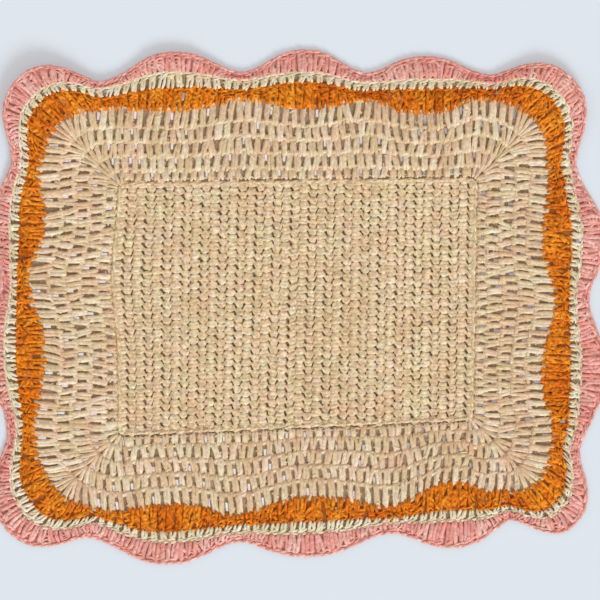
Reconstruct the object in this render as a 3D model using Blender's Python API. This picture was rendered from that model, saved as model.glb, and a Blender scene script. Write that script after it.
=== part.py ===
"""A crocheted raffia placemat with a ribbed centre panel and a scalloped, coloured border.

Metres, +Z up. The mat lies on z = 0 with the centre of its outline at the origin, its long side
along X. Each yarn area is one closed sheet: the panel worked in rows, the five open rounds round
it, the orange round, the narrow natural round and the pink scallops.

A spot on the mat is found by its place and its reach. The place runs clockwise round the panel's
edge from 0 to 8: 0 to 1 along the upper edge, 1 to 2 round the corner, 2 to 3 down the right
edge, and so on. The reach is how far the spot lies outside the panel's edge.
"""
from collections import namedtuple
from math import cos, exp, hypot, pi, sin, sqrt

import bmesh
import bpy

MM = 0.001

# The centre panel, crocheted to and fro in rows that run along Y.
PANEL_WIDTH = 265.0 * MM
PANEL_DEPTH = 186.0 * MM
PANEL_CORNER = 5.0 * MM
RIB_COUNT = 20            # each rib is two rows of single crochet
PANEL_STEPS = 10          # steps along a rib, so that it follows the panel's bent edge
RIB_SHARES = (0.0, 0.22, 0.78)
RIB_HEIGHTS = (3.0 * MM, 4.0 * MM, 4.0 * MM)
RIB_LEAN = 4.0 * MM       # how far the ribs near the left edge lean

# The open border, five rounds of double crochet.
ROUND_SHARES = (0.0, 0.19, 0.38, 0.57, 0.76, 1.0)
ROUND_PROFILE = ((0.0, 2.6 * MM), (0.22, 3.7 * MM), (0.82, 3.7 * MM))
SLOT_ROW = 1              # the slots lie between the second and the third line of a round
SLOTS_PER_ROUND = 44
SLOT_WIDTH = 2.2 * MM
LINES_PER_SLOT = 4        # two sides of a slot, and two of the one half a step on in the next round

# The closed rounds outside it: share of the round's width, height of its top.
ORANGE_PROFILE = ((0.0, 2.6 * MM), (0.3, 3.8 * MM), (0.84, 3.2 * MM), (1.0, 3.5 * MM))
TRIM_PROFILE = ((0.0, 2.8 * MM), (0.45, 3.9 * MM), (1.0, 3.0 * MM))
PINK_PROFILE = ((0.0, 2.6 * MM), (0.3, 3.7 * MM), (0.84, 3.0 * MM), (1.0, 3.4 * MM))

CORNER_WALK = 110.0 * MM  # length of the border's outer line round one corner
SEAM_GAP = 0.3 * MM       # left between two neighbouring yarn areas
CREST_FULLNESS = 1.25     # over 1, a scallop stays full for longer and then falls faster
MAT_CENTRE = (-0.7 * MM, -0.9 * MM)  # of the outline, before it is moved to the origin

# The scallops, clockwise, a crest and then a dip: the place, and the reach in millimetres of the
# natural, orange, trim and pink yarn there.
Station = namedtuple("Station", "name place natural orange trim pink")
STATIONS = (
    Station("upper edge, left scallop", 0.14, 55.0, 71.5, 82.0, 96.5),
    Station("dip", 0.34, 62.5, 69.5, 76.0, 81.5),
    Station("upper edge, middle scallop", 0.52, 55.5, 74.0, 81.0, 97.0),
    Station("dip", 0.70, 60.5, 67.0, 72.5, 79.5),
    Station("upper edge, right scallop", 0.87, 50.5, 68.0, 74.5, 91.0),
    Station("dip", 1.10, 61.0, 68.0, 72.0, 78.0),
    Station("upper right corner", 1.47, 64.5, 83.5, 90.0, 104.5),
    Station("dip", 1.88, 56.0, 65.0, 71.0, 75.5),
    Station("right edge, upper scallop", 2.25, 52.0, 72.0, 79.5, 96.0),
    Station("dip", 2.50, 62.0, 71.5, 76.0, 85.0),
    Station("right edge, lower scallop", 2.83, 53.0, 73.0, 80.5, 98.5),
    Station("dip", 3.19, 64.0, 72.0, 77.5, 84.0),
    Station("lower right corner", 3.51, 70.0, 90.0, 96.0, 111.0),
    Station("dip", 3.76, 59.5, 70.0, 74.5, 81.5),
    Station("lower edge, right scallop", 4.03, 48.0, 67.5, 75.0, 94.5),
    Station("dip", 4.22, 63.5, 71.0, 75.0, 82.0),
    Station("lower edge, middle scallop", 4.46, 54.0, 71.0, 79.5, 96.5),
    Station("dip", 4.67, 64.5, 71.5, 77.0, 83.5),
    Station("lower edge, left scallop", 4.87, 55.0, 74.0, 81.5, 97.5),
    Station("dip", 5.18, 60.0, 64.5, 69.5, 80.0),
    Station("lower left corner", 5.55, 65.0, 84.5, 93.5, 110.5),
    Station("dip", 5.98, 64.0, 72.0, 76.5, 82.5),
    Station("left edge, lower scallop", 6.33, 57.0, 77.0, 85.5, 97.5),
    Station("dip", 6.62, 68.5, 76.0, 80.5, 87.5),
    Station("left edge, upper scallop", 6.87, 56.5, 74.5, 81.5, 94.0),
    Station("dip", 7.15, 61.5, 69.5, 75.5, 82.0),
    Station("upper left corner", 7.52, 65.5, 86.0, 92.5, 109.5),
    Station("dip", 7.87, 58.0, 66.0, 72.5, 77.5),
)

# How far hand tension has drawn each corner of the panel out of square, in millimetres.
Draw = namedtuple("Draw", "x y")
CORNER_DRAWS = {
    "upper left": Draw(0.0, -2.2),
    "upper right": Draw(0.0, 1.5),
    "lower left": Draw(0.0, -2.6),
    "lower right": Draw(-3.0, 9.0),
}

# Where the panel's left edge bellies out, and where the mat's rim curls up off the table.
Bulge = namedtuple("Bulge", "x y out_x out_y radius")
BULGES = (Bulge(-140.0, 25.0, -5.0, 0.0, 38.0),)
Curl = namedtuple("Curl", "name x y height radius")
CURLS = (
    Curl("upper left corner", -205.0, 165.0, 9.0, 88.0),
    Curl("upper left scallop", -92.0, 200.0, 4.0, 62.0),
    Curl("upper right corner", 205.0, 165.0, 5.0, 70.0),
)

# Lengths of the four sides and the four corners at the outer line of the open border.
SIDE_WALKS = 2 * (
    PANEL_WIDTH - 2 * PANEL_CORNER, CORNER_WALK,
    PANEL_DEPTH - 2 * PANEL_CORNER, CORNER_WALK,
)

YARNS = {
    "natural": (0.72, 0.53, 0.30),
    "orange": (0.73, 0.19, 0.01),
    "pale": (0.74, 0.60, 0.38),
    "pink": (0.79, 0.27, 0.22),
}


def ease(share):
    """Runs smoothly from 0 to 1."""
    return 0.5 - 0.5 * cos(pi * share)


def way_to(place):
    """Length of the walk to a place, taken along the outer line of the open border."""
    turns, left = divmod(place, 8)
    walked = turns * sum(SIDE_WALKS)
    for walk in SIDE_WALKS:
        walked += walk * min(1.0, max(0.0, left))
        left -= 1
    return walked


def reach_of(yarn, place):
    """How far a yarn reaches at a place, easing from each crest into its dips."""
    count = len(STATIONS)
    place %= 8
    for index, station in enumerate(STATIONS):
        following = STATIONS[(index + 1) % count]
        start = station.place
        end = following.place if following.place > start else following.place + 8
        here = place if place >= start else place + 8
        if here <= end:
            share = (way_to(here) - way_to(start)) / (way_to(end) - way_to(start))
            at_crest = index % 2 == 0
            from_crest = share if at_crest else 1 - share
            fall = ease(from_crest ** CREST_FULLNESS)
            crest, dip = (station, following) if at_crest else (following, station)
            top, bottom = getattr(crest, yarn), getattr(dip, yarn)
            return (top + (bottom - top) * fall) * MM
    raise ValueError(place)


def panel_edge(place):
    """The spot on the square panel's edge at a place, and its outward direction."""
    place %= 8
    side = int(place)
    along = place - side
    half_w, half_d = PANEL_WIDTH / 2, PANEL_DEPTH / 2
    run_w, run_d = half_w - PANEL_CORNER, half_d - PANEL_CORNER
    if side == 0:
        return (-run_w + along * 2 * run_w, half_d), (0.0, 1.0)
    if side == 2:
        return (half_w, run_d - along * 2 * run_d), (1.0, 0.0)
    if side == 4:
        return (run_w - along * 2 * run_w, -half_d), (0.0, -1.0)
    if side == 6:
        return (-half_w, -run_d + along * 2 * run_d), (-1.0, 0.0)
    turn = (side - 1) / 2
    angle = pi / 2 * (1 - turn - along)
    out = (cos(angle), sin(angle))
    centre_x = run_w if side in (1, 3) else -run_w
    centre_y = run_d if side in (1, 7) else -run_d
    return (centre_x + PANEL_CORNER * out[0], centre_y + PANEL_CORNER * out[1]), out


def hand_made(x, y):
    """Moves a spot of the true pattern to where hand tension has drawn it."""
    right = min(1.0, max(0.0, x / PANEL_WIDTH + 0.5))
    low = min(1.0, max(0.0, 0.5 - y / PANEL_DEPTH))
    moved_x, moved_y = x, y
    for name, draw in CORNER_DRAWS.items():
        share = right if "right" in name else 1 - right
        share *= low if "lower" in name else 1 - low
        moved_x += share * draw.x * MM
        moved_y += share * draw.y * MM
    for bulge in BULGES:
        distance = hypot(x / MM - bulge.x, y / MM - bulge.y) / bulge.radius
        moved_x += bulge.out_x * MM * exp(-distance ** 2)
        moved_y += bulge.out_y * MM * exp(-distance ** 2)
    return moved_x - MAT_CENTRE[0], moved_y - MAT_CENTRE[1]


def curl_at(x, y):
    """How far the mat's underside has lifted off the table."""
    lift = 0.0
    for curl in CURLS:
        distance = hypot(x / MM - curl.x, y / MM - curl.y) / curl.radius
        lift += curl.height * MM * max(0.0, 1 - distance ** 2) ** 2
    return lift


def spot(place, reach):
    """The point of the finished mat at a place and reach."""
    (x, y), out = panel_edge(place)
    return hand_made(x + out[0] * reach, y + out[1] * reach)


def slide(place, reach, distance):
    """The place that lies a short distance further along, at one reach."""
    steps = 6
    tiny = 0.002
    for _ in range(steps):
        ahead, behind = spot(place + tiny, reach), spot(place - tiny, reach)
        pace = hypot(ahead[0] - behind[0], ahead[1] - behind[1]) / (2 * tiny)
        place += distance / steps / pace
    return place


def even_places(count, reach):
    """Places that stand a like distance apart along the line at one reach."""
    fine = 2400
    points = [spot(8 * index / fine, reach) for index in range(fine + 1)]
    run = [0.0]
    for first, second in zip(points, points[1:]):
        run.append(run[-1] + hypot(second[0] - first[0], second[1] - first[1]))
    places = []
    index = 0
    for number in range(count):
        wanted = run[-1] * number / count
        while run[index + 1] < wanted:
            index += 1
        share = (wanted - run[index]) / (run[index + 1] - run[index])
        places.append(8 * (index + share) / fine)
    return places


def round_edge(number, place):
    """The reach of the line between two rounds of the open border."""
    return ROUND_SHARES[number] * reach_of("natural", place)


def sheet_object(name, yarn, grid, closed, holes=()):
    """Builds a closed sheet from rows of (x, y, height of the top), and its flat underside."""
    mesh = bmesh.new()
    rows = [[mesh.verts.new((x, y, curl_at(x, y) + top)) for x, y, top in row] for row in grid]
    tops = []
    columns = len(rows[0])
    for row in range(len(rows) - 1):
        for column in range(columns if closed else columns - 1):
            if (row, column) in holes:
                continue
            beside = (column + 1) % columns
            corners = (rows[row][column], rows[row][beside], rows[row + 1][beside], rows[row + 1][column])
            tops.append(mesh.faces.new(corners))
    extruded = bmesh.ops.extrude_face_region(mesh, geom=tops)
    for item in extruded["geom"]:
        if isinstance(item, bmesh.types.BMVert):
            item.co.z = curl_at(item.co.x, item.co.y)
    bmesh.ops.recalc_face_normals(mesh, faces=mesh.faces)
    data = bpy.data.meshes.new(name)
    mesh.to_mesh(data)
    mesh.free()
    data.materials.append(raffia(name, yarn))
    sheet = bpy.data.objects.new(name, data)
    bpy.context.scene.collection.objects.link(sheet)
    return sheet


def raffia(name, yarn):
    """The dry, slightly glossy raffia of one yarn area."""
    material = bpy.data.materials.new(name)
    material.use_nodes = True
    shader = material.node_tree.nodes["Principled BSDF"]
    shader.inputs["Base Color"].default_value = (*YARNS[yarn], 1.0)
    shader.inputs["Roughness"].default_value = 0.6
    shader.inputs["Metallic"].default_value = 0.0
    return material


def centre_panel():
    """The ribbed panel: one line of points for each edge of a rib."""
    half_w = PANEL_WIDTH / 2 - SEAM_GAP / 2
    half_d = PANEL_DEPTH / 2 - SEAM_GAP / 2
    lines = [(rib + share, top) for rib in range(RIB_COUNT) for share, top in zip(RIB_SHARES, RIB_HEIGHTS)]
    lines.append((RIB_COUNT, RIB_HEIGHTS[0]))
    grid = []
    for across, top in lines:
        across /= RIB_COUNT
        x = -half_w + 2 * half_w * across
        into_corner = max(0.0, abs(x) - (half_w - PANEL_CORNER))
        edge_y = half_d - PANEL_CORNER + sqrt(max(0.0, PANEL_CORNER ** 2 - into_corner ** 2))
        lean = RIB_LEAN * sin(pi * across) * (1 - across)
        row = []
        for step in range(PANEL_STEPS + 1):
            along = 2 * step / PANEL_STEPS - 1
            row.append((*hand_made(x + lean * along, edge_y * along), top))
        grid.append(row)
    return sheet_object("centre_panel", "natural", grid, closed=False)


def slot_sides(middles, reach):
    """Places of the lines across the border at one reach, two for each slot's sides."""
    places = []
    for middle in middles:
        for side in (-1, 1):
            places.append(slide(middle, reach(middle), side * SLOT_WIDTH / 2))
    return places


def natural_border(columns):
    """The five open rounds, their slots staggered from one round to the next."""
    middles = [(first + second) / 2 for first, second in zip(columns[::2], columns[1::2])]
    rounds = len(ROUND_SHARES) - 1
    grid = []
    holes = set()
    for number in range(rounds):
        for line, (share, top) in enumerate(ROUND_PROFILE):
            def reach(place, share=share, number=number):
                inner, outer = round_edge(number, place), round_edge(number + 1, place)
                return max(SEAM_GAP / 2, inner + share * (outer - inner))
            places = slot_sides(middles, reach)
            if line == SLOT_ROW:
                first = number % 2 * LINES_PER_SLOT // 2
                holes.update((len(grid), column) for column in range(first, len(places), LINES_PER_SLOT))
            grid.append([(*spot(place, reach(place)), top) for place in places])
    edge = [spot(place, reach_of("natural", place) - SEAM_GAP / 2) for place in columns]
    grid.append([(x, y, ROUND_PROFILE[0][1]) for x, y in edge])
    return sheet_object("natural_border", "natural", grid, closed=True, holes=holes)


def closed_round(name, yarn, columns, profile, inner, outer):
    """A round with no gaps, between the reaches of two yarns."""
    grid = []
    for share, top in profile:
        row = []
        for place in columns:
            near, far = reach_of(inner, place) + SEAM_GAP / 2, reach_of(outer, place) - SEAM_GAP / 2
            row.append((*spot(place, near + share * (far - near)), top))
        grid.append(row)
    return sheet_object(name, yarn, grid, closed=True)


def main():
    for leftover in list(bpy.data.objects):
        bpy.data.objects.remove(leftover, do_unlink=True)
    columns = even_places(SLOTS_PER_ROUND * LINES_PER_SLOT, reach_of("natural", 0.0))
    centre_panel()
    natural_border(columns)
    closed_round("orange_band", "orange", columns, ORANGE_PROFILE, "natural", "orange")
    closed_round("natural_trim", "pale", columns, TRIM_PROFILE, "orange", "trim")
    closed_round("pink_edging", "pink", columns, PINK_PROFILE, "trim", "pink")


main()
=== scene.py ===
import bpy
import numpy as np
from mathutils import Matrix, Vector


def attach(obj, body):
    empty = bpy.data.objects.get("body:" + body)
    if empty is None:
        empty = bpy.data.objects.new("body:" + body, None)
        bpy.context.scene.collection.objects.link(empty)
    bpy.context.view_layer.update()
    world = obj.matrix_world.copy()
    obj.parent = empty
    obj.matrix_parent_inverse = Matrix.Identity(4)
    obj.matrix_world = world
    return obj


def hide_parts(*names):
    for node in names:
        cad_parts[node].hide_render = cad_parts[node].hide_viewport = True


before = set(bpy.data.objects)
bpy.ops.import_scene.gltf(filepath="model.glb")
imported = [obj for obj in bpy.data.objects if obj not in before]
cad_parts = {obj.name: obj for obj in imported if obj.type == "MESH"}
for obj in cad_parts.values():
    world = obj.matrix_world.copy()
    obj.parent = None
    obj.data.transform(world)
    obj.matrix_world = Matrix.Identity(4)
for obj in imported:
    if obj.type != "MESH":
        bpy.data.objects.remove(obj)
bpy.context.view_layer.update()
bpy.ops.object.select_all(action="DESELECT")
mm = 0.001
quarterTurn = np.pi / 2
lap = 8.0    # places once round the mat: four sides and four corners
fineSteps = 4800    # of a lap, for lengths along a line
clearOfTable = 0.15    # the lowest that a strand reaches

# the mat's shape, the same sizes as in the solids
mat = {
    "panelWidth": 265.0,
    "panelDepth": 186.0,
    "panelCorner": 5.0,
    "ribs": 20,
    "ribLean": 4.0,
    "cornerWalk": 110.0,
    "crestFullness": 1.25,
    "centre": (-0.7, -0.9),
    "roundShares": (0.0, 0.19, 0.38, 0.57, 0.76, 1.0),
    "slotsPerRound": 44,
    "slotReach": 55.0,    # the slots are even along this line
}
yarns = {"natural": 1, "orange": 2, "trim": 3, "pink": 4}    # column in the stations
# a crest and then a dip: the place round the mat, then how far out each yarn reaches there
stations = np.array((
    (0.14, 55.0, 71.5, 82.0, 96.5),
    (0.34, 62.5, 69.5, 76.0, 81.5),
    (0.52, 55.5, 74.0, 81.0, 97.0),
    (0.70, 60.5, 67.0, 72.5, 79.5),
    (0.87, 50.5, 68.0, 74.5, 91.0),
    (1.10, 61.0, 68.0, 72.0, 78.0),
    (1.47, 64.5, 83.5, 90.0, 104.5),
    (1.88, 56.0, 65.0, 71.0, 75.5),
    (2.25, 52.0, 72.0, 79.5, 96.0),
    (2.50, 62.0, 71.5, 76.0, 85.0),
    (2.83, 53.0, 73.0, 80.5, 98.5),
    (3.19, 64.0, 72.0, 77.5, 84.0),
    (3.51, 70.0, 90.0, 96.0, 111.0),
    (3.76, 59.5, 70.0, 74.5, 81.5),
    (4.03, 48.0, 67.5, 75.0, 94.5),
    (4.22, 63.5, 71.0, 75.0, 82.0),
    (4.46, 54.0, 71.0, 79.5, 96.5),
    (4.67, 64.5, 71.5, 77.0, 83.5),
    (4.87, 55.0, 74.0, 81.5, 97.5),
    (5.18, 60.0, 64.5, 69.5, 80.0),
    (5.55, 65.0, 84.5, 93.5, 110.5),
    (5.98, 64.0, 72.0, 76.5, 82.5),
    (6.33, 57.0, 77.0, 85.5, 97.5),
    (6.62, 68.5, 76.0, 80.5, 87.5),
    (6.87, 56.5, 74.5, 81.5, 94.0),
    (7.15, 61.5, 69.5, 75.5, 82.0),
    (7.52, 65.5, 86.0, 92.5, 109.5),
    (7.87, 58.0, 66.0, 72.5, 77.5),
))
cornerDraws = (    # right share, low share, moved x, moved y
    (0, 0, 0.0, -2.2),
    (1, 0, 0.0, 1.5),
    (0, 1, 0.0, -2.6),
    (1, 1, -3.0, 9.0),
)
bulge = {"x": -140.0, "y": 25.0, "outX": -5.0, "radius": 38.0}
curls = (    # x, y, height, radius
    (-205.0, 165.0, 9.0, 88.0),
    (-92.0, 200.0, 4.0, 62.0),
    (205.0, 165.0, 5.0, 70.0),
)
runWidth = mat["panelWidth"] / 2 - mat["panelCorner"]
runDepth = mat["panelDepth"] / 2 - mat["panelCorner"]
cornerSpots = np.array([(-1, 1), (1, 1), (1, -1), (-1, -1), (-1, 1)]) * (runWidth, runDepth)
sideWalks = 2 * (2 * runWidth, mat["cornerWalk"], 2 * runDepth, mat["cornerWalk"])


def ease(share):
    return 0.5 - 0.5 * np.cos(np.pi * np.clip(share, 0, 1))


def wayTo(place):    # the walk to a place, along the border's outer line
    place = np.asarray(place, dtype=float)
    laps = np.floor(place / lap)
    walked = laps * sum(sideWalks)
    for side, walk in enumerate(sideWalks):
        walked = walked + walk * np.clip(place - lap * laps - side, 0, 1)
    return walked


def reachAt(yarn, place):    # eases from each crest into its dips
    place = np.mod(place, lap)
    whole = sum(sideWalks)
    walks = wayTo(stations[:, 0])
    walks = np.concatenate(([walks[-1] - whole], walks, [walks[0] + whole]))
    reaches = stations[:, yarns[yarn]]
    reaches = np.concatenate(([reaches[-1]], reaches, [reaches[0]]))
    here = wayTo(place)
    at = np.clip(np.searchsorted(walks, here, side="right") - 1, 0, len(walks) - 2)
    share = (here - walks[at]) / (walks[at + 1] - walks[at])
    crestFirst = at % 2 == 1
    fall = ease(np.where(crestFirst, share, 1 - share) ** mat["crestFullness"])
    crest = np.where(crestFirst, reaches[at], reaches[at + 1])
    dip = np.where(crestFirst, reaches[at + 1], reaches[at])
    return crest + (dip - crest) * fall


def handMade(x, y):    # moves a spot to where the pull of the hand has drawn it
    right = np.clip(x / mat["panelWidth"] + 0.5, 0, 1)
    low = np.clip(0.5 - y / mat["panelDepth"], 0, 1)
    movedX, movedY = x.copy(), y.copy()
    for isRight, isLow, drawX, drawY in cornerDraws:
        share = (right if isRight else 1 - right) * (low if isLow else 1 - low)
        movedX += share * drawX
        movedY += share * drawY
    away = np.hypot(x - bulge["x"], y - bulge["y"]) / bulge["radius"]
    movedX += bulge["outX"] * np.exp(-away ** 2)
    return movedX - mat["centre"][0], movedY - mat["centre"][1]


def curlAt(x, y):    # how far the underside has lifted off the table
    lift = np.zeros_like(x)
    for curlX, curlY, height, radius in curls:
        away = np.hypot(x - curlX, y - curlY) / radius
        lift += height * np.maximum(0, 1 - away ** 2) ** 2
    return lift


def spotAt(place, reach):    # where on the finished mat a place and a reach lie
    place = np.mod(place, lap)
    side = np.minimum(np.floor(place).astype(int), int(lap) - 1)
    along = place - side
    onSide = side % 2 == 0
    quarter = side // 2
    angle = quarterTurn * (1 - quarter - np.where(onSide, 0, along))
    first, second = cornerSpots[quarter], cornerSpots[quarter + 1]
    centre = np.where(onSide[..., None], first + (second - first) * along[..., None], second)
    out = mat["panelCorner"] + reach
    return handMade(centre[..., 0] + np.cos(angle) * out, centre[..., 1] + np.sin(angle) * out)


finePlaces = np.linspace(0, lap, fineSteps + 1)


def lineRun(reach):    # the run to each fine place, along the line at one reach
    line = np.broadcast_to(reach(finePlaces) if callable(reach) else reach, finePlaces.shape)
    x, y = spotAt(finePlaces[:-1], line[:-1])
    x, y = np.append(x, x[0]), np.append(y, y[0])
    return np.concatenate(([0.0], np.cumsum(np.hypot(np.diff(x), np.diff(y)))))


def runAt(place, run):
    laps = np.floor(place / lap)
    return np.interp(place - lap * laps, finePlaces, run) + laps * run[-1]


def placeAt(walked, run):
    laps = np.floor(walked / run[-1])
    return np.interp(walked - laps * run[-1], run, finePlaces) + lap * laps


def evenPlaces(count, reach):    # a like distance apart along the line at one reach
    run = lineRun(reach)
    return placeAt(run[-1] * np.arange(count) / count, run)


def newMaterial(name):
    material = bpy.data.materials.new(name)
    material.use_nodes = True
    return material, material.node_tree, material.node_tree.nodes["Principled BSDF"]


def fill(tree, node, values):    # sets or links its inputs
    for key, value in values.items():
        if isinstance(value, bpy.types.NodeSocket):
            tree.links.new(value, node.inputs[key])
        else:
            node.inputs[key].default_value = value
    return node


def addNode(tree, kind, values=None, **settings):
    node = tree.nodes.new(kind)
    for key, value in settings.items():
        setattr(node, key, value)
    return fill(tree, node, values or {})


def mixColours(tree, factor, first, second, blend="MIX"):
    values = {0: factor, 6: first, 7: second}
    return addNode(tree, "ShaderNodeMix", values, data_type="RGBA", blend_type=blend).outputs[2]


def mathNode(tree, operation, first, second, third=0.5):
    return addNode(tree, "ShaderNodeMath", {0: first, 1: second, 2: third}, operation=operation).outputs[0]


def remap(tree, value, low, high, newLow=0.0, newHigh=1.0):
    values = {0: value, 1: low, 2: high, 3: newLow, 4: newHigh}
    return addNode(tree, "ShaderNodeMapRange", values, interpolation_type="SMOOTHSTEP").outputs[0]


def noise(tree, at, scale, detail=2.0):
    return addNode(tree, "ShaderNodeTexNoise", {"Vector": at, "Scale": scale, "Detail": detail}).outputs[0]


def attribute(tree, name, output):
    return addNode(tree, "ShaderNodeAttribute", attribute_name=name).outputs[output]


fibre = {    # the raffia's own pattern, and the painted crevice shade; a range is from and to, and then what they become
    "stretch": (1.0, 0.14, 1.0),    # the fibres are long along a strand
    "coarse": 2.2, "coarseDetail": 3.0, "fine": 6.5,    # noise scales on a strand, in millimetres
    "patches": 34.0, "drift": 62.0, "freckles": 420.0,    # and on the mat, in metres
    "paleTone": (0.25, 0.95), "warmTone": (0.2, 0.0, 0.0, 0.45),
    "warmPatch": (0.48, 0.7), "warmShare": 0.55,
    "driftRange": (0.36, 0.64), "rosy": (1.03, 0.975, 0.98, 1), "green": (0.985, 1.005, 0.95, 1),
    "coarseStreak": (0.32, 0.68, 0.72, 1.14), "fineStreak": (0.3, 0.7, 0.86, 1.1),
    "freckleRange": (0.34, 0.66), "freckleLift": 0.8,
    "creviceShade": (0.62, 0.0),
    "coarseHeight": 0.7, "fineHeight": 0.3, "bump": 0.5, "bumpDepth": 0.0006,
    "roughness": (0.3, 0.7, 0.62, 0.46),
}


def raffiaGroup():    # fibres along each strand, tone by strand and by patch, painted shade in crevices
    tree = bpy.data.node_groups.new("raffiaFibres", "ShaderNodeTree")
    for way, kind, labels in (
        ("INPUT", "NodeSocketColor", ("Yarn", "Pale", "Warm", "Crevice")),
        ("INPUT", "NodeSocketFloat", ("Crevice depth", "Mottle")),
        ("OUTPUT", "NodeSocketColor", ("Colour",)),
        ("OUTPUT", "NodeSocketFloat", ("Height", "Roughness")),
    ):
        for label in labels:
            tree.interface.new_socket(label, in_out=way, socket_type=kind)
    given = addNode(tree, "NodeGroupInput").outputs
    tone, shade = attribute(tree, "tone", "Fac"), attribute(tree, "shade", "Fac")
    onStrand = {"Vector": attribute(tree, "strand", "Vector"), "Scale": fibre["stretch"]}
    onStrand = addNode(tree, "ShaderNodeMapping", onStrand).outputs[0]
    onMat = addNode(tree, "ShaderNodeTexCoord").outputs["Object"]
    coarse = noise(tree, onStrand, fibre["coarse"], fibre["coarseDetail"])
    fine = noise(tree, onStrand, fibre["fine"])
    patches, drift, freckles = (noise(tree, onMat, fibre[key]) for key in ("patches", "drift", "freckles"))
    # the yarn's colour, by strand and by patch
    base = mixColours(tree, remap(tree, tone, *fibre["paleTone"]), given["Yarn"], given["Pale"])
    warm = mathNode(tree, "MULTIPLY", remap(tree, patches, *fibre["warmPatch"]), fibre["warmShare"])
    base = mixColours(tree, warm, base, given["Warm"])
    base = mixColours(tree, remap(tree, tone, *fibre["warmTone"]), base, given["Warm"])
    tint = mixColours(tree, remap(tree, drift, *fibre["driftRange"]), fibre["rosy"], fibre["green"])
    base = mixColours(tree, 1.0, base, tint, blend="MULTIPLY")
    # streaks and freckles
    streak = remap(tree, coarse, *fibre["coarseStreak"])
    streak = mathNode(tree, "MULTIPLY", streak, remap(tree, fine, *fibre["fineStreak"]))
    dim = mathNode(tree, "SUBTRACT", 1.0, given["Mottle"])
    bright = mathNode(tree, "MULTIPLY_ADD", given["Mottle"], fibre["freckleLift"], 1.0)
    streak = mathNode(tree, "MULTIPLY", streak, remap(tree, freckles, *fibre["freckleRange"], dim, bright))
    grey = addNode(tree, "ShaderNodeCombineColor", {0: streak, 1: streak, 2: streak}).outputs[0]
    base = mixColours(tree, 1.0, base, grey, blend="MULTIPLY")
    # painted shade in the crevices, the fibres' height and their gloss
    dark = mathNode(tree, "MULTIPLY", remap(tree, shade, *fibre["creviceShade"]), given["Crevice depth"])
    coarseHeight = mathNode(tree, "MULTIPLY", coarse, fibre["coarseHeight"])
    fineHeight = mathNode(tree, "MULTIPLY", fine, fibre["fineHeight"])
    addNode(tree, "NodeGroupOutput", {
        "Colour": mixColours(tree, dark, base, given["Crevice"]),
        "Height": mathNode(tree, "ADD", coarseHeight, fineHeight),
        "Roughness": remap(tree, coarse, *fibre["roughness"]),
    })
    return tree


def raffiaMaterial(name, look):
    look = {**usualLook, **look}
    material, tree, shader = newMaterial(name)
    fibres = addNode(tree, "ShaderNodeGroup", node_tree=raffiaShared)
    fill(tree, fibres, {label: (*look[label], 1) for label in ("Yarn", "Pale", "Warm", "Crevice")})
    fill(tree, fibres, {"Crevice depth": look["depth"], "Mottle": look["mottle"]})
    bump = {"Height": fibres.outputs["Height"], "Strength": fibre["bump"], "Distance": fibre["bumpDepth"]}
    fill(tree, shader, {
        "Base Color": fibres.outputs["Colour"],
        "Roughness": fibres.outputs["Roughness"],
        "Normal": addNode(tree, "ShaderNodeBump", bump).outputs["Normal"],
        "Specular IOR Level": look["gloss"],
        "Sheen Weight": look["sheen"],
    })
    material.diffuse_color = (*look["Yarn"], 1)
    return material


raffiaShared = raffiaGroup()
usualLook = {"mottle": 0.12, "gloss": 0.35, "sheen": 0.06}    # where a look doesn't say
looks = {    # linear colours; Crevice is the colour of the painted shade in crevices
    "naturalRaffia": {
        "Yarn": (0.765, 0.53, 0.315), "Pale": (0.89, 0.71, 0.50), "Warm": (0.73, 0.455, 0.255),
        "Crevice": (0.24, 0.13, 0.055), "depth": 0.78,
    },
    "panelRaffia": {
        "Yarn": (0.775, 0.545, 0.315), "Pale": (0.86, 0.685, 0.455), "Warm": (0.76, 0.475, 0.26),
        "Crevice": (0.13, 0.058, 0.02), "depth": 0.95, "mottle": 0.22,
    },
    "trimRaffia": {
        "Yarn": (0.82, 0.66, 0.43), "Pale": (0.90, 0.79, 0.60), "Warm": (0.76, 0.56, 0.32),
        "Crevice": (0.18, 0.12, 0.04), "depth": 0.8,
    },
    "orangeRaffia": {
        "Yarn": (0.72, 0.178, 0.005), "Pale": (0.87, 0.29, 0.017), "Warm": (0.60, 0.105, 0.003),
        "Crevice": (0.20, 0.026, 0.0), "depth": 0.95, "mottle": 0.34, "gloss": 0.15, "sheen": 0.0,
    },
    "pinkRaffia": {
        "Yarn": (0.83, 0.335, 0.27), "Pale": (0.92, 0.50, 0.43), "Warm": (0.77, 0.245, 0.19),
        "Crevice": (0.50, 0.12, 0.09), "depth": 0.75, "mottle": 0.2,
    },
    # darker copies of the yarns for the grounds: painted shade between the stitches
    "shadedNatural": {
        "Yarn": (0.34, 0.215, 0.11), "Pale": (0.42, 0.29, 0.17), "Warm": (0.64, 0.50, 0.44),
        "Crevice": (0.12, 0.065, 0.03), "depth": 0.5,
    },
    "shadedOrange": {
        "Yarn": (0.46, 0.11, 0.003), "Pale": (0.52, 0.14, 0.006), "Warm": (0.38, 0.07, 0.002),
        "Crevice": (0.1, 0.015, 0.0), "depth": 0.5,
    },
    "shadedPink": {
        "Yarn": (0.66, 0.25, 0.20), "Pale": (0.72, 0.30, 0.25), "Warm": (0.60, 0.20, 0.155),
        "Crevice": (0.3, 0.06, 0.045), "depth": 0.5,
    },
}
materials = {name: raffiaMaterial(name, look) for name, look in looks.items()}
print("materials:", len(materials))


strand = {
    "sides": 6,
    "drawnIn": {"creased": 0.8, "plump": 0.97},    # every second corner of its section
    "endFade": 2.0,    # length over which its ends darken, painted shade where they tuck under
    "leastFlat": 0.3,    # for its shade
    "twist": 60,    # degrees from end to end
}
sides = strand["sides"]


def strandProfile(drawnIn):    # a strand's section
    bpy.ops.mesh.primitive_circle_add(vertices=sides, radius=1.0)
    ring = bpy.context.object
    for vertex in ring.data.vertices:
        if vertex.index % 2:
            vertex.co *= drawnIn
    bpy.ops.object.convert(target="CURVE")
    return bpy.context.object


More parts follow.
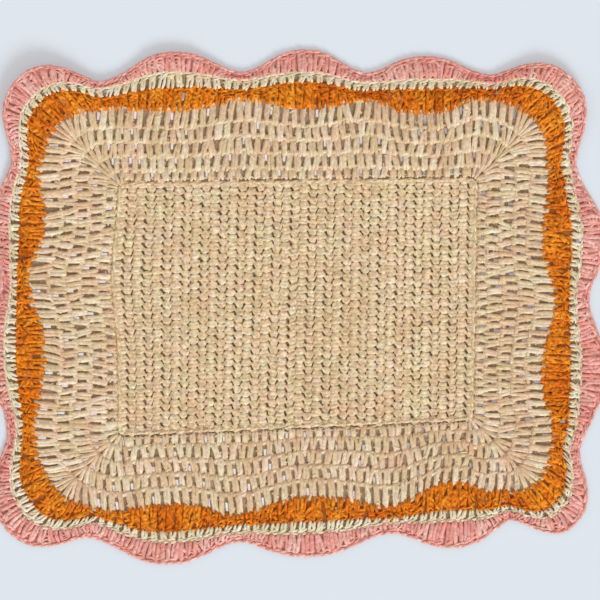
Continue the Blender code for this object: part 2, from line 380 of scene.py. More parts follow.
profiles = {name: strandProfile(drawnIn) for name, drawnIn in strand["drawnIn"].items()}


def strandMesh(points, profile="creased", flat=0.9, steps=2):    # points are x, y, z and radius along the yarn
    bpy.ops.curve.primitive_nurbs_path_add()
    curve = bpy.context.object.data
    curve.splines.clear()
    spline = curve.splines.new("NURBS")
    spline.points.add(len(points) - 1)
    for index, (x, y, z, radius) in enumerate(points):
        spline.points[index].co = (x, y, z, 1)
        spline.points[index].radius = radius
        spline.points[index].tilt = np.radians(strand["twist"]) * index / (len(points) - 1)
    spline.order_u = 4
    spline.use_endpoint_u = True
    spline.resolution_u = steps
    curve.bevel_mode = "OBJECT"
    curve.bevel_object = profiles[profile]
    curve.use_fill_caps = True
    curve.twist_mode = "Z_UP"
    bpy.ops.object.convert(target="MESH")
    mesh = bpy.context.object.data
    spots = np.array([vertex.co[:] for vertex in mesh.vertices])
    faces = [list(polygon.vertices) for polygon in mesh.polygons]
    middles = spots.reshape(-1, sides, 3).mean(axis=1)
    axis = np.repeat(middles, sides, axis=0)
    offset = spots - axis
    offset[:, 2] *= flat
    run = np.concatenate(([0.0], np.cumsum(np.linalg.norm(np.diff(middles, axis=0), axis=1))))
    around = np.tile(np.arange(sides) / sides, len(middles))
    thick = np.linalg.norm(offset, axis=1).max()
    # painted shade: darker on its sides and underside, and towards its ends
    lift = offset[:, 2] / thick / max(flat, strand["leastFlat"])
    toEnd = np.repeat(np.minimum(run, run[-1] - run), sides)
    shade = np.clip(0.5 + 0.5 * lift, 0, 1) * (0.5 + 0.5 * ease(toEnd / strand["endFade"]))
    along = np.stack([around * 2 * np.pi * thick, np.repeat(run, sides), np.zeros(len(spots))], axis=1)
    bpy.data.objects.remove(bpy.context.object, do_unlink=True)
    return {"axis": axis, "offset": offset, "faces": faces, "shade": shade, "along": along}


def stitchTemplate(strands):    # a stitch's strands as one set of arrays
    sizes = [len(part["axis"]) for part in strands]
    starts = np.concatenate(([0], np.cumsum(sizes))).tolist()
    keys = ("axis", "offset", "shade", "along")
    template = {key: np.concatenate([part[key] for part in strands]) for key in keys}
    template["number"] = np.repeat(np.arange(len(strands)), sizes)
    template["faces"] = [
        [vertex + start for vertex in face] for part, start in zip(strands, starts) for face in part["faces"]
    ]
    return template


bandShape = (    # share of its length, how far it is sunk, share of its thickness
    (0.0, 1.2, 0.7),
    (0.3, 0.0, 1.0),
    (0.7, 0.0, 1.0),
    (1.0, 1.2, 0.7),
)


def band(stitch, start, end, thick, rise):    # a strand that lies across the others
    points = []
    for share, sunk, size in bandShape:
        x, y = (first + share * (last - first) for first, last in zip(start, end))
        points.append((x, y, stitch["lift"] + rise - sunk, thick * size))
    return strandMesh(points)


leg = {
    "rise": {    # above the stitch's top
        "tip": -0.7, "foot": 0.3, "waist": 0.4, "top": -0.3, "end": -1.3, "lowerEnd": -1.0, "upperTip": -1.1,
    },
    "share": {    # of the stitch's height
        "middle": 0.45, "lower": 0.36, "lowerEnd": 0.62, "upperTip": 0.28, "upper": 0.5,
    },
    "thick": {"tip": 0.5, "end": 0.65, "broken": 0.6},    # shares of its thickness
    "bowed": 1.1,
    "footLength": 1.1,
    "dropMess": 0.3,
    "headMess": 0.15,    # a head's, on top of the stitch's own
}


def legs(stitch, side, draw):    # one upright strand of a stitch, or a lower and an upper one
    thick, foot, top, tall = (stitch[key] for key in ("legRadius", "footRadius", "lift", "height"))
    rise, share = leg["rise"], leg["share"]
    first, middle, last, lowerEnd, upperTip = side * stitch["legAt"] + draw.normal(0, stitch["mess"], 5)
    drop = stitch["footDrop"] + draw.uniform(-leg["dropMess"], leg["dropMess"])
    start = [
        (first * stitch["tipAt"], -drop, top + rise["tip"], foot * leg["thick"]["tip"]),
        (first * stitch["footAt"], leg["footLength"] - drop, top + rise["foot"], foot),
        (first, stitch["waistAt"], top + rise["waist"], thick * stitch["waist"]),
    ]
    end = [
        (last, tall * stitch["topAt"], top + rise["top"], thick * stitch["waist"]),
        (last + side * stitch["spread"], tall * stitch["end"], top + rise["end"], thick * leg["thick"]["end"]),
    ]
    if not stitch["broken"]:
        bow = (middle * leg["bowed"], tall * share["middle"], top, thick)
        return [strandMesh(start + [bow] + end, stitch["profile"], stitch["legFlat"])]
    thin = thick * leg["thick"]["broken"]
    lower = [
        (middle, tall * share["lower"], top, thick),
        (lowerEnd, tall * share["lowerEnd"], top + rise["lowerEnd"], thin),
    ]
    upper = [
        (upperTip, tall * share["upperTip"], top + rise["upperTip"], thin),
        (last, tall * share["upper"], top, thick),
    ]
    return [strandMesh(start + lower), strandMesh(upper + end)]


def stitchKinds(stitch, count, seed):    # the same stitch worked a little differently each time
    draw = np.random.default_rng(seed)
    wide = stitch["pitch"] / 2 + stitch["headOver"]
    kinds = []
    for _ in range(count):
        strands = legs(stitch, -1, draw) + legs(stitch, 1, draw)
        for _ in range(stitch["wraps"]):
            slant = draw.choice((-1, 1)) * draw.uniform(*stitch["wrapHalf"])
            middle = stitch["height"] * draw.uniform(*stitch["wrapAt"])
            rise = draw.uniform(*stitch["wrapRise"])
            start, end = (-slant, middle - rise), (slant, middle + rise)
            strands.append(band(stitch, start, end, stitch["wrapRadius"], stitch["wrapOver"]))
        for share in stitch["headAt"]:
            first, last = stitch["height"] * share + draw.normal(0, stitch["mess"] + leg["headMess"], 2)
            start, end = (-wide, first - stitch["headTilt"]), (wide, last + stitch["headTilt"])
            strands.append(band(stitch, start, end, stitch["headRadius"], stitch["headRise"]))
        kinds.append(stitchTemplate(strands))
    return kinds


copies = {
    "thickRange": (0.6, 1.5),
    "tone": 0.5, "stitchTone": 0.17, "strandTone": 0.12,    # the middle, and how far each strays
    "cut": {"copy": 7.31, "strand": 2.17, "kind": 5.03, "length": 97},    # where in the fibres it is cut from
}


def jitterCopies(template, count, jitter, draw):    # every copy a little different
    number = template["number"]
    parts = number.max() + 1
    thick = 1 + jitter["thick"] * draw.normal(size=(count, parts))[:, number]
    shift = draw.normal(size=(count, parts, 3)) * jitter["shift"]
    lean = draw.normal(size=(count, 1)) * jitter["lean"]
    axis = template["axis"] + shift[:, number]
    axis[..., 0] += lean * axis[..., 1]
    offset = template["offset"] * np.clip(thick, *copies["thickRange"])[..., None]
    tone = draw.normal(copies["tone"], copies["stitchTone"], size=(count, 1))
    tone = np.clip(tone + draw.normal(0, copies["strandTone"], size=(count, parts)), 0, 1)
    return axis, offset, tone[:, number]


def addLayers(mesh, layers):    # values at each point, which the materials read
    for label, values in layers.items():
        isVector = values.ndim == 2
        layer = mesh.attributes.new(label, "FLOAT_VECTOR" if isVector else "FLOAT", "POINT")
        layer.data.foreach_set("vector" if isVector else "value", values.astype(np.float32).ravel())


def newPiece(name, spots, faces, material):    # spots in millimetres
    mesh = bpy.data.meshes.new(name)
    mesh.from_pydata((np.concatenate(spots) * mm).tolist(), [], faces)
    mesh.materials.append(materials[material])
    piece = bpy.data.objects.new(name, mesh)
    bpy.context.scene.collection.objects.link(piece)
    return piece, mesh


def buildPiece(name, finish, groups):    # groups are (template, spots on the mat, tone)
    material, _, slot, node = finishes[finish]
    cut = copies["cut"]
    spots, faces, shade, strandAt, tone = [], [], [], [], []
    start = 0
    for kind, (template, world, toneHere) in enumerate(groups):
        count, points = toneHere.shape
        number = np.arange(count)[:, None]
        for first in range(start, start + count * points, points):
            faces += [[first + vertex for vertex in face] for face in template["faces"]]
        spots.append(world.reshape(-1, 3))
        shade.append(np.tile(template["shade"], count))
        along = np.repeat(template["along"][None], count, axis=0)
        cutAt = number * cut["copy"] + template["number"] * cut["strand"] + kind * cut["kind"]
        along[..., 2] = cutAt % cut["length"]
        strandAt.append(along.reshape(-1, 3))
        tone.append(toneHere.ravel())
        start += count * points
    piece, mesh = newPiece(name, spots, faces, material)
    addLayers(mesh, {
        "shade": np.concatenate(shade), "tone": np.concatenate(tone), "strand": np.concatenate(strandAt),
    })
    mesh.shade_smooth()
    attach(piece, "root")
    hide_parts(node)
    print(name, "triangles:", sum(len(face) - 2 for face in faces))
    return piece


def lifted(x, y, z):    # above the table, and raised where the rim curls up
    return np.stack([x, y, np.maximum(z, clearOfTable) + curlAt(x, y)], axis=-1)


def placeOf(centres, position):    # place at a position counted in stitches
    count, spare = len(centres), 2
    steps = np.arange(-spare, count + spare)
    line = np.concatenate((centres[-spare:] - lap, centres, centres[:spare] + lap))
    return np.interp(position, steps, line)


def parted(position, gaps, count, parting):    # the yarn parts where the light shows through
    away = (position[..., None] - gaps - 0.5 + count / 2) % count - count / 2
    nearest = np.take_along_axis(away, np.abs(away).argmin(axis=-1)[..., None], axis=-1)[..., 0]
    return position + parting * np.sign(nearest) * np.clip(1 - 2 * np.abs(nearest), 0, 1)


swayWave = 0.21    # radians from one stitch to the next
fanStep = 0.02    # in places


def fanned(place, up, fan, inner, outer):    # the stitches of a scallop spread towards its rim
    near, far = inner(place), outer(place)
    slope = (outer(place + fanStep) - outer(place - fanStep)) / (2 * fanStep)    # reach gained for each place
    x1, y1 = spotAt(place + fanStep, near)
    x0, y0 = spotAt(place - fanStep, near)
    pace = np.hypot(x1 - x0, y1 - y0) / (2 * fanStep)    # walked for each place
    return place - fan * slope / pace * up * (far - near) / pace


def mapRound(axis, offset, chosen, centres, stitch, inner, outer, gaps, feet):
    height, head = stitch["height"], stitch["head"]
    y = axis[..., 1] + offset[..., 1]
    up = np.clip(y / height, 0, 1)
    spread = 1.0
    if feet is not None:    # strands keep their thickness where the feet draw together
        spread = np.maximum(feet[1][chosen][:, None] + up, border["closest"])
    position = chosen[:, None] + (axis[..., 0] + offset[..., 0] / np.minimum(spread, 1)) / stitch["pitch"]
    sway = stitch["sway"] * np.sin(chosen * swayWave + height) + stitch["slant"]
    position = position + sway[:, None] * y / height
    if gaps is not None:
        position = parted(position, gaps, len(centres), stitch["parting"])
    place = placeOf(centres, position)
    if feet is not None:    # a stitch leans from its foot to its head
        foot = placeOf(feet[0], position)
        place = foot + (place - foot) * np.minimum(y / height, 1)
    if stitch["fan"]:
        place = fanned(place, up, stitch["fan"], inner, outer)
    near, far = inner(place), outer(place)
    stretch = (far - near - head) / (height - head)    # heads keep their size
    reach = near + y * np.where(y > 0, stretch, 1.0)
    reach = np.where(y > height - head, far - (height - y), reach)
    x, y = spotAt(place, reach)
    return lifted(x, y, axis[..., 2] + offset[..., 2])


def placeRound(name, centres, kinds, stitch, inner, outer, seed, finish, gaps=None, feet=None):
    draw = np.random.default_rng(seed)
    chosenKind = draw.integers(0, len(kinds), len(centres))
    groups = []
    for kind, template in enumerate(kinds):
        chosen = np.flatnonzero(chosenKind == kind)
        axis, offset, tone = jitterCopies(template, len(chosen), stitch["jitter"], draw)
        spots = mapRound(axis, offset, chosen, centres, stitch, inner, outer, gaps, feet)
        groups.append((template, spots, tone))
    return buildPiece(name, finish, groups)


finishes = {    # material, its ground's material in painted shade, slot and the solid that it stands for
    "panel": ("panelRaffia", "shadedNatural", "natural_raffia", "centre_panel"),
    "border": ("naturalRaffia", "shadedNatural", "natural_raffia_open", "natural_border"),
    "orange": ("orangeRaffia", "shadedOrange", "orange_raffia", "orange_band"),
    "trim": ("trimRaffia", "shadedNatural", "pale_raffia", "natural_trim"),
    "pink": ("pinkRaffia", "shadedPink", "pink_raffia", "pink_edging"),
}

# the open border, five rounds of double crochet
border = {
    "sideCount": 39,
    "endCount": 27,
    "corners": (3, 6, 9, 12, 15),    # more stitches for each side, from the panel outwards
    "mitre": 0.75, "sharpness": 1.2,    # how soon, and how fast, the feet draw together at a corner
    "closest": 0.45,
    "seed": 11,
    "kinds": 6,
    "firstReach": 1.6,
}
usualStitch = {
    "broken": False, "fan": 0.0, "slant": 0.0, "profile": "creased", "legFlat": 0.9,
    "headRise": 0.3, "headOver": 0.0,
}
tall = {
    **usualStitch, "pitch": 6.6, "height": 11.5, "head": 2.5, "lift": 2.6,
    "parting": 0.04, "sway": 0.07, "mess": 0.36,
    "profile": "plump", "legFlat": 0.75, "legAt": 0.75, "legRadius": 2.3,
    "waist": 0.58, "waistAt": 1.2, "topAt": 0.7, "end": 1.06, "spread": 1.3,
    "footRadius": 2.1, "footAt": 1.8, "footDrop": 3.0, "tipAt": 1.3,
    "wraps": 1, "wrapRadius": 1.0, "wrapOver": 0.75,
    "wrapHalf": (1.9, 2.6), "wrapAt": (0.3, 0.65), "wrapRise": (0.3, 2.2),
    "headAt": (0.92,), "headRadius": 1.85, "headRise": 0.25, "headTilt": 0.7, "headOver": 0.3,
    "jitter": {"thick": 0.1, "shift": (0.2, 0.4, 0.18), "lean": 0.08},
}
tallFirst = {    # set into the panel's edge
    **tall, "footRadius": 1.5, "footDrop": 0.4, "headAt": (0.14, 0.92), "headRadius": 1.2,
}
tallLast = {**tall, "headRise": -0.5, "headTilt": 0.3}    # its heads lie under the orange yarn


def borderLine(number):
    share = mat["roundShares"][number]
    return lambda place: np.maximum(border["firstReach"], share * reachAt("natural", place))


def mitredRound(number):    # where the heads and feet of a round lie
    innerRun, outerRun = lineRun(borderLine(number)), lineRun(borderLine(number + 1))
    heads, feet, gaps = [], [], []
    for side, sideCount in enumerate(2 * (border["sideCount"], border["endCount"])):
        count = sideCount + border["corners"][number]
        corners = np.array((2 * side - 0.5, 2 * side + 1.5))    # the middles of the corners at its ends
        outerEnds, innerEnds = runAt(corners, outerRun), runAt(corners, innerRun)
        length = outerEnds[1] - outerEnds[0]
        more = length - (innerEnds[1] - innerEnds[0])
        walk = ((np.arange(count) + 0.5) / count - 0.5) * length    # from the side's middle
        drawn = np.clip(1 - (length / 2 - np.abs(walk)) / (border["mitre"] * more), 0, 1)
        step = walk - np.sign(walk) * more / 2 * drawn ** border["sharpness"]
        heads.append(placeAt(outerEnds.mean() + walk, outerRun))
        feet.append(placeAt(innerEnds.mean() + step, innerRun))
        gaps.append(np.gradient(step) / tall["pitch"])
    return np.concatenate(heads), np.concatenate(feet), np.concatenate(gaps)


slotMiddles = evenPlaces(2 * mat["slotsPerRound"], mat["slotReach"])
borderPlaces = []    # heads and feet of each round
borderGaps = []    # the open gaps, each after the stitch of this number
for number, stitch in enumerate((tallFirst, tall, tall, tall, tallLast)):
    heads, feet, footGaps = mitredRound(number)
    gapAt = np.arange(len(heads)) + 0.5
    between = (placeOf(heads, gapAt) + placeOf(feet, gapAt)) / 2
    slots = slotMiddles[number % 2::2]
    gaps = np.array([np.argmin(np.abs((between - slot + lap / 2) % lap - lap / 2)) for slot in slots])
    seed = border["seed"] + number
    moved = np.random.default_rng(seed).integers(-1, 2, len(gaps))
    gaps = np.unique((gaps + moved) % len(heads))
    borderPlaces.append((heads, feet))
    borderGaps.append(gaps)
    placeRound(
        f"borderRound{number + 1}", heads, stitchKinds(stitch, border["kinds"], seed), stitch,
        borderLine(number), borderLine(number + 1), seed, "border", gaps, (feet, footGaps))

# the orange round, the trim and the pink scallops
yarnLine = {name: (lambda place, name=name: reachAt(name, place)) for name in yarns}
orange = {
    **usualStitch, "broken": True, "pitch": 6.4, "height": 12.0, "head": 3.8, "lift": 2.8,
    "count": 208, "kinds": 8, "seed": 31, "sway": 0.25, "mess": 0.8,
    "legAt": 1.6, "legRadius": 1.5,
    "waist": 0.95, "waistAt": 0.3, "topAt": 0.78, "end": 0.98, "spread": 0.3,
    "footRadius": 1.85, "footAt": 1.1, "footDrop": 3.0, "tipAt": 1.0,
    "wraps": 5, "wrapRadius": 1.2, "wrapOver": 0.8,
    "wrapHalf": (1.9, 3.3), "wrapAt": (0.0, 0.75), "wrapRise": (0.0, 2.3),
    "headAt": (0.86,), "headRadius": 1.35, "headTilt": 0.5,
    "jitter": {"thick": 0.1, "shift": (0.4, 0.5, 0.3), "lean": 0.1},
}
trim = {
    **usualStitch, "pitch": 6.8, "height": 8.0, "head": 3.0, "lift": 2.9,
    "count": 208, "kinds": 6, "seed": 41, "sway": 0.05, "slant": 0.16, "mess": 0.45,
    "legAt": 1.15, "legRadius": 1.45,
    "waist": 0.9, "waistAt": 0.3, "topAt": 0.66, "end": 0.86, "spread": 0.5,
    "footRadius": 1.5, "footAt": 1.0, "footDrop": 1.6, "tipAt": 0.9,
    "wraps": 1, "wrapRadius": 1.2, "wrapOver": 0.6,
    "wrapHalf": (1.9, 2.6), "wrapAt": (0.15, 0.7), "wrapRise": (0.3, 2.6),
    "headAt": (0.66,), "headRadius": 1.3, "headTilt": 0.9, "headOver": -0.3,
    "jitter": {"thick": 0.09, "shift": (0.3, 0.25, 0.15), "lean": 0.14},
}
pink = {
    **usualStitch, "pitch": 5.8, "height": 17.0, "head": 4.4, "lift": 2.5,
    "count": 262, "kinds": 10, "seed": 51, "fan": 0.4, "sway": 0.2, "mess": 0.5,
    "legAt": 1.45, "legRadius": 2.05,
    "waist": 0.85, "waistAt": 0.5, "topAt": 0.68, "end": 0.88, "spread": 0.3,
    "footRadius": 1.6, "footAt": 1.1, "footDrop": 1.6, "tipAt": 1.0,
    "wraps": 2, "wrapRadius": 1.3, "wrapOver": 0.6,
    "wrapHalf": (1.4, 2.6), "wrapAt": (0.1, 0.72), "wrapRise": (0.3, 3.0),
    "headAt": (0.8,), "headRadius": 1.35, "headTilt": 0.6,
    "jitter": {"thick": 0.1, "shift": (0.3, 0.45, 0.22), "lean": 0.07},
}


def closedRound(name, stitch, workedAlong, inner, outer):    # its stitches are even along one line
    centres = evenPlaces(stitch["count"], workedAlong)
    kinds = stitchKinds(stitch, stitch["kinds"], stitch["seed"])
    return placeRound(name, centres, kinds, stitch, yarnLine[inner], yarnLine[outer], stitch["seed"], outer)


def orangeMiddle(place):
    return (yarnLine["natural"](place) + yarnLine["orange"](place)) / 2


orangeStitches = closedRound("orangeStitches", orange, orangeMiddle, "natural", "orange")
trimStitches = closedRound("trimStitches", trim, yarnLine["trim"], "orange", "trim")
pinkStitches = closedRound("pinkStitches", pink, yarnLine["pink"], "trim", "pink")

# lines of slip stitches, each a link of two strands
chain = {
    "height": 4.0, "head": 1.0, "fan": 0.0, "sway": 0.0, "slant": 0.0,
    "back": 0.62, "front": 0.58, "under": 0.95, "rise": 0.15,
}
edgeChain = {    # round the panel's edge
    **chain, "pitch": 6.4, "lift": 3.0, "count": 141, "seed": 71, "inside": 1.2,
    "thick": 1.3, "open": 1.0, "cross": 0.3,
    "jitter": {"thick": 0.08, "shift": (0.3, 0.2, 0.12), "lean": 0.03},
}
rimChain = {    # round the scallops' outer edge
    **chain, "pitch": 5.8, "lift": 2.6, "count": 262, "seed": 81, "inside": 1.5,
    "thick": 1.2, "open": 0.8, "cross": 0.5,
    "jitter": {"thick": 0.1, "shift": (0.4, 0.15, 0.12), "lean": 0.02},
}
trimChain = {    # along the trim's outer edge
    **chain, "pitch": 6.8, "lift": 3.1, "count": 208, "seed": 86, "inside": 0.9,
    "thick": 1.15, "open": 0.7, "cross": 0.4,
    "jitter": {"thick": 0.1, "shift": (0.3, 0.15, 0.1), "lean": 0.02},
}


def chainRound(name, chain, finish):    # inside the outer edge of the panel or of a yarn
    def line(place):
        return (reachAt(finish, place) if finish in yarns else np.zeros_like(place)) - chain["inside"]

    link = []
    for side, size in ((1, 1.0), (-1, chain["under"])):
        start = (-chain["pitch"] * chain["back"], -side * chain["cross"])
        end = (chain["pitch"] * chain["front"], side * chain["open"])
        link.append(band(chain, start, end, chain["thick"] * size, rise=chain["rise"] * side))
    return placeRound(
        name, evenPlaces(chain["count"], line), [stitchTemplate(link)], chain,
        line, lambda place: line(place) + chain["height"], chain["seed"], finish)


panelEdge = chainRound("panelEdgeChain", edgeChain, "panel")
pinkRim = chainRound("pinkRimChain", rimChain, "pink")
trimRim = chainRound("trimRimChain", trimChain, "trim")

# the panel: every row waves over the ribs, up over one cord of a rib and down over the other
panel = {
    "rows": 32, "seed": 61, "lift": 2.7, "flat": 0.27, "wave": 1.35,
    "beadRadius": 2.95, "beadRange": (0.8, 1.12), "beadHalf": 1.38,
    "neckRange": (0.45, 1.35), "neckHalf": -0.1,
    "columnStep": 0.8,    # how far a column of necks lies out of line
    "wander": (0.36, 0.3, 0.06),
    "endSunk": 0.7, "endThick": 0.8, "edgeEnd": 0.5, "joinEnd": 2.2,    # its ends lie under their neighbours
    # paleFlank paints the flanks paler against the shade in the grooves; darkRange, edgePower and the creases
    # shape the painted shade
    "tone": (0.4, 0.28), "paleFlank": 0.5,
    "darkRange": (0.55, 1.0), "edgePower": 1.5, "above": -0.1,
    "creases": (0.0, 0.3, 0.8), "creaseShares": (0.7, 0.2, 0.1), "creaseWide": 0.8,    # how dark, how many
}
# dark, wide and solid give the painted shade at a neck: how dark, how far along, how much over its top
necks = (    # the two slopes of a row on each rib, up at the valley and down at the middle
    {
        "share": 0.0, "rise": 1, "half": (0.3, 1.0), "shoulder": 1.3, "radius": 0.8, "sunk": 0.6,
        "dark": 0.8, "wide": 1.0, "solid": 0.6,
    },
    {
        "share": 0.56, "rise": -1, "half": (0.75, 0.7), "shoulder": 1.8, "radius": 1.1, "sunk": 0.6,
        "dark": 1.0, "wide": 1.7, "solid": 0.0,
    },
)
ribPitch = mat["panelWidth"] / mat["ribs"]
rowPitch = mat["panelDepth"] / panel["rows"]


def rowPoints(side, crossings, steps, ends, draw):    # one strand of a row, neck by neck
    points = []
    for rib, number in crossings:
        neck = necks[number]
        bead = panel["beadRadius"] * draw.uniform(*panel["beadRange"], 2)
        narrow = neck["radius"] * draw.uniform(*panel["neckRange"])
        across, up = neck["half"]
        for along, level, half, down, radius in (
            (-neck["shoulder"], -panel["wave"], panel["beadHalf"], 0.0, bead[0]),
            (-across, -up, panel["neckHalf"], neck["sunk"], narrow),
            (across, up, panel["neckHalf"], neck["sunk"], narrow),
            (neck["shoulder"], panel["wave"], panel["beadHalf"], 0.0, bead[1]),
        ):
            moved = draw.normal(size=3) * panel["wander"]
            points.append((
                ribPitch * (rib + neck["share"]) + along + moved[0],
                neck["rise"] * level + side * half + steps[rib, number] + moved[1],
                panel["lift"] - down + moved[2], radius))
    for index, past in ((0, -ends[0]), (len(points), ends[1])):
        x, y, z, radius = points[min(index, len(points) - 1)]
        points.insert(index + (index > 0), (x + past, y, z - panel["endSunk"], radius * panel["endThick"]))
    return points


def panelSpot(x, y):    # x and y from the panel's middle
    across = x / mat["panelWidth"] + 0.5
    along = 2 * y / mat["panelDepth"]
    lean = mat["ribLean"] * np.sin(np.pi * np.clip(across, 0, 1)) * (1 - across)
    return handMade(x + lean * along, y)


def darkened(template, along, spots, depth, wide, solid):    # painted shade where a strand is drawn in or creased
    flank = np.abs(template["offset"][:, 1])
    edge = flank / np.repeat(flank.reshape(-1, sides).max(axis=1), sides)
    edge = edge[:, None] ** panel["edgePower"]
    dark = depth * np.exp(-((along[:, None] - spots) / wide) ** 2)
    return (dark * (edge + (1 - edge) * solid)).max(axis=1)


def placePanel(name, crossings, steps, ends, seed):
    draw = np.random.default_rng(seed)
    neckAt = np.array([ribPitch * (rib + necks[number]["share"]) for rib, number in crossings])
    neckDark, neckWide, neckSolid = (
        np.array([necks[number][key] for _, number in crossings]) for key in ("dark", "wide", "solid"))
    groups = []
    for row in range(panel["rows"]):
        for side in (1, -1):
            points = rowPoints(side, crossings, steps, ends, draw)
            template = stitchTemplate([strandMesh(points, "plump", panel["flat"], steps=1)])
            offset = template["offset"]
            along, y, z = (template["axis"] + offset).T
            beads = np.array([point[0] for point in points[1::4]])
            creased = draw.choice(panel["creases"], len(beads), p=panel["creaseShares"])
            neckDepth = neckDark * draw.uniform(*panel["darkRange"], len(neckAt))
            creaseWide = np.full(len(beads), panel["creaseWide"])
            # painted shade at the necks and at some creases, in shade and in tone; the strand's top keeps no
            # crevice shade of its own
            dark = darkened(template, along, *(np.concatenate(pair) for pair in (
                (neckAt, beads), (neckDepth, creased), (neckWide, creaseWide), (neckSolid, 0 * beads))))
            template["shade"] = np.where(offset[:, 2] > panel["above"], 1.0, template["shade"]) * (1 - dark)
            tone = np.interp(along, beads, np.clip(draw.normal(*panel["tone"], len(beads)), 0, 1))
            # the flanks painted paler, against the shade in the grooves
            pale = panel["paleFlank"] * np.abs(offset[:, 1]) / panel["beadRadius"]
            tone = np.clip(tone + pale, 0, 1) * (1 - dark)
            x, y = panelSpot(along - mat["panelWidth"] / 2, y + rowPitch * (row + 0.5) - mat["panelDepth"] / 2)
            groups.append((template, lifted(x, y, z)[None], tone[None]))
    return buildPiece(name, "panel", groups)


middle = 2 * (mat["ribs"] // 2)    # the crossing where the two halves of the rows meet
crossings = [(rib, number) for rib in range(mat["ribs"]) for number in (0, 1)] + [(mat["ribs"], 0)]
columnSteps = np.random.default_rng(panel["seed"]).uniform(
    -panel["columnStep"], panel["columnStep"], (mat["ribs"] + 1, 2))
panelRows = [
    placePanel("panelRowsLeft", crossings[:middle + 1], columnSteps,
               (panel["edgeEnd"], panel["joinEnd"]), panel["seed"] + 1),
    placePanel("panelRowsRight", crossings[middle:], columnSteps,
               (panel["joinEnd"], panel["edgeEnd"]), panel["seed"] + 2),
    panelEdge,
]

# the ground: the yarn at the back of the stitches, seen between them, darker as painted shade
ground = {
    "height": 1.5, "panelHeight": 0.7, "thickness": 0.5, "shade": 0.5, "tone": 0.5,
    "slotSide": 0.13, "rows": (0.0, 0.34, 0.74, 1.0), "slotRow": 1, "seam": 0.2,
    "ringRows": 4, "ringColumns": 300, "panelRows": 41, "panelColumns": 61,
    "borderLength": 1.12, "leastWidth": 0.01,    # of a ring's flat cut, in metres
    "seed": 91,
}


def inEditMode(operation, **settings):
    bpy.ops.object.mode_set(mode="EDIT")
    bpy.ops.mesh.select_all(action="SELECT")
    operation(**settings)
    bpy.ops.object.mode_set(mode="OBJECT")


def groundSheet(finish, strips):    # strips are (grid, closed, holes)
    name = finish + "Ground"
    _, material, slot, node = finishes[finish]
    spots, faces = [], []
    start = 0
    for grid, closed, holes in strips:
        rows, columns = grid.shape[:2]
        spots.append(grid.reshape(-1, 3))
        for row in range(rows - 1):
            for column in range(columns if closed else columns - 1):
                if (row, column) in holes:
                    continue
                here, beside = start + row * columns + column, start + row * columns + (column + 1) % columns
                faces.append([here, beside, beside + columns, here + columns])
        start += rows * columns
    sheet, mesh = newPiece(name, spots, faces, material)
    bpy.context.view_layer.objects.active = sheet
    sheet.select_set(True)
    inEditMode(bpy.ops.mesh.normals_make_consistent, inside=False)
    shell = sheet.modifiers.new("thickness", "SOLIDIFY")
    shell.thickness = ground["thickness"] * mm
    shell.offset = 0
    bpy.ops.object.modifier_apply(modifier=shell.name)
    sheet.select_set(False)
    at = np.array([vertex.co[:] for vertex in mesh.vertices], dtype=np.float32) / mm
    addLayers(mesh, {
        "shade": np.full(len(at), ground["shade"]), "tone": np.full(len(at), ground["tone"]), "strand": at,
    })
    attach(sheet, "root")
    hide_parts(node)
    print(name, "faces:", len(mesh.polygons))
    return sheet


def gridArea(strips):    # square metres, less the holes
    total = 0.0
    for grid, closed, holes in strips:
        if closed:
            grid = np.concatenate((grid, grid[:, :1]), axis=1)
        right = grid[:-1, 1:] - grid[:-1, :-1]
        up = grid[1:, :-1] - grid[:-1, :-1]
        cell = np.linalg.norm(np.cross(right, up), axis=-1)
        for row, column in holes:
            cell[row, column] = 0
        total += cell.sum()
    return total * mm * mm


strips = []
for number, (heads, feet) in enumerate(borderPlaces):
    side = np.arange(len(heads)) + 0.5
    positions = np.stack([side - ground["slotSide"], side + ground["slotSide"]], axis=1).ravel()
    head, foot = placeOf(heads, positions), placeOf(feet, positions)
    rows = []
    for share in ground["rows"]:
        place = foot + (head - foot) * share
        near, far = (borderLine(number)(place) if number else ground["seam"]), borderLine(number + 1)(place)
        x, y = spotAt(place, near + share * (far - near))
        rows.append(lifted(x, y, ground["height"]))
    strips.append((np.array(rows), True, {(ground["slotRow"], 2 * int(gap)) for gap in borderGaps[number]}))
borderFlat = (ground["borderLength"], round(gridArea(strips) / ground["borderLength"], 4))
groundSheet("border", strips)


def ringStrip(ring):    # short of its outer line where a chain covers that
    count = ground["ringColumns"]
    place = np.linspace(0, lap, count, endpoint=False)
    near, far = reachAt(ring["inner"], place), reachAt(ring["yarn"], place) - ring["short"]
    lines = []
    for share in np.linspace(0, 1, ground["ringRows"]):
        x, y = spotAt(place, near + share * (far - near))
        lines.append(lifted(x, y, ground["height"]))
    columns = np.random.default_rng(ground["seed"]).choice(count, ring["openings"], replace=False)
    return [(np.array(lines), True, {(ground["slotRow"], int(column)) for column in columns})]


rings = (
    {"yarn": "orange", "inner": "natural", "pieces": [orangeStitches],
     "length": 1.32, "openings": 30, "short": 0},
    {"yarn": "trim", "inner": "orange", "pieces": [trimStitches, trimRim],
     "length": 1.38, "openings": 20, "short": 0},
    {"yarn": "pink", "inner": "trim", "pieces": [pinkStitches, pinkRim],
     "length": 1.48, "openings": 12, "short": 2.0},
)
for ring in rings:
    strips = ringStrip(ring)
    area = gridArea(strips)
    width = round(max(ground["leastWidth"], area / ring["length"]), 4)
    area = min(area, ring["length"] * width)
    groundSheet(ring["yarn"], strips)

halfWidth, halfDepth = mat["panelWidth"] / 2, mat["panelDepth"] / 2
x, y = panelSpot(*np.meshgrid(
    np.linspace(-halfWidth, halfWidth, ground["panelColumns"]),
    np.linspace(-halfDepth, halfDepth, ground["panelRows"])))
strips = [(lifted(x, y, ground["panelHeight"]), False, set())]
groundSheet("panel", strips)

for profile in profiles.values():
    bpy.data.objects.remove(profile, do_unlink=True)

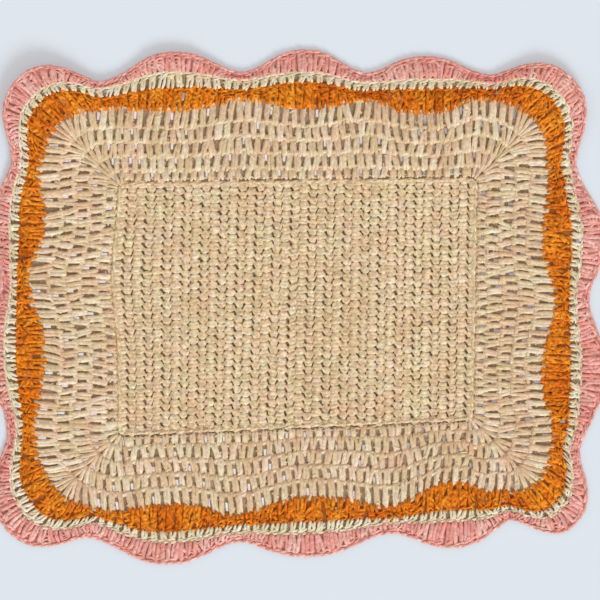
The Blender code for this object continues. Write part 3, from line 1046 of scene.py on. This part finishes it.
# floor, light and camera, in metres
studio = {
    "floorSize": 6.0,
    "floorColour": (0.446, 0.474, 0.500),
    "floorGlow": (0.256, 0.258, 0.275),    # lifts the floor to the photo's pale surface
    "floorRoughness": 0.9,
    "world": (1.0, 0.97, 0.96),
    "worldStrength": 0.74,
    "sunStrength": 2.5,
    "sunColour": (0.75, 0.92, 1.0),
    "sunFrom": (0.30, -0.80, 0.55),
    "sunSoftness": 24.0,    # degrees across
    "frame": 0.444,    # width of the view on the table
    "lens": 300.0,
    "sensor": 36.0,
    "looksAt": (0.00254, 0.0053),
}
bpy.context.scene.view_settings.view_transform = "Standard"
bpy.ops.mesh.primitive_plane_add(size=studio["floorSize"])
floor = bpy.context.object
floor.name = "floor"
floorMaterial, floorTree, floorShader = newMaterial("floorPale")
fill(floorTree, floorShader, {
    "Base Color": (*studio["floorColour"], 1), "Roughness": studio["floorRoughness"],
    "Emission Color": (*studio["floorGlow"], 1), "Emission Strength": 1.0,
})
floor.data.materials.append(floorMaterial)

pad = {    # a light pad under the mat, so that the open stitches show pale
    "width": 0.385, "depth": 0.306, "height": 0.0001, "corner": 0.06, "cornerSteps": 6,
    "glow": (0.60, 0.56, 0.59), "bright": 1.0, "dim": 0.4, "from": -0.02, "to": 0.12,
}
padCentre = [-each * mm for each in mat["centre"]]
bpy.ops.mesh.primitive_plane_add(size=1.0, location=(*padCentre, pad["height"]))
lightPad = bpy.context.object
lightPad.name = "lightPad"
lightPad.scale = (pad["width"], pad["depth"], 1)
bpy.ops.object.transform_apply(location=True, rotation=False, scale=True)
inEditMode(bpy.ops.mesh.bevel, offset=pad["corner"], segments=pad["cornerSteps"], affect="VERTICES")
padMaterial, padTree, padShader = newMaterial("padGlow")
padSpot = addNode(padTree, "ShaderNodeTexCoord").outputs["Object"]
padAcross = addNode(padTree, "ShaderNodeSeparateXYZ", {0: padSpot}).outputs[0]
padGlow = remap(padTree, padAcross, pad["from"], pad["to"], pad["bright"], pad["dim"])
fill(padTree, padShader, {
    "Base Color": (*studio["floorColour"], 1),
    "Emission Color": (*pad["glow"], 1), "Emission Strength": padGlow,
})
lightPad.data.materials.append(padMaterial)

world = bpy.data.worlds.new("softRoom")
bpy.context.scene.world = world
world.use_nodes = True
sky = world.node_tree.nodes["Background"]
fill(world.node_tree, sky, {"Color": (*studio["world"], 1), "Strength": studio["worldStrength"]})
bpy.ops.object.light_add(type="SUN", location=studio["sunFrom"])
sun = bpy.context.object
sun.data.energy = studio["sunStrength"]
sun.data.color = studio["sunColour"]
sun.data.angle = np.radians(studio["sunSoftness"])
sun.rotation_euler = Vector(studio["sunFrom"]).to_track_quat("Z", "Y").to_euler()

away = studio["frame"] * studio["lens"] / studio["sensor"]
bpy.ops.object.camera_add(location=(*studio["looksAt"], away), rotation=(0, 0, 0))
camera = bpy.context.object
camera.data.lens = studio["lens"]
camera.data.sensor_width = studio["sensor"]
bpy.context.scene.camera = camera
print("stage set")
